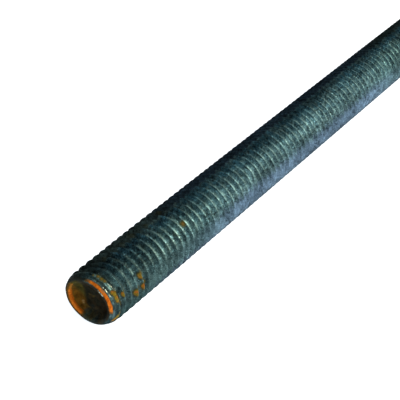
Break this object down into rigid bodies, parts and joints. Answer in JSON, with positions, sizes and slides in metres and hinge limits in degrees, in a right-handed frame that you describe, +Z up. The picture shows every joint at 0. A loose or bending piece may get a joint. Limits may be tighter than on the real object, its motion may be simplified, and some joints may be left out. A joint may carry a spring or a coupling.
{
  "type": "threaded rod",
  "caption": "Straight metric threaded rod, zinc-coated steel, right-hand thread all along, with leaning dished ends and rust at one lip.",
  "frame": {"origin": "on the rod's axis, half way between its two ends", "axes": "+X along the rod from the rusted end towards the other end; +Z up, with the top of the rusted end's face standing out furthest; +Y across"},
  "size_m": [0.1, 0.0078, 0.0078],
  "materials": {
    "zinc_steel": "dull, dark zinc coat gone grey-green, worn brighter along the thread crests, with orange-brown rust around the lip of one end and in small spots near it"
  },
  "bodies": {
    "root": {"rod": "zinc_steel"}
  },
  "joints": []
}
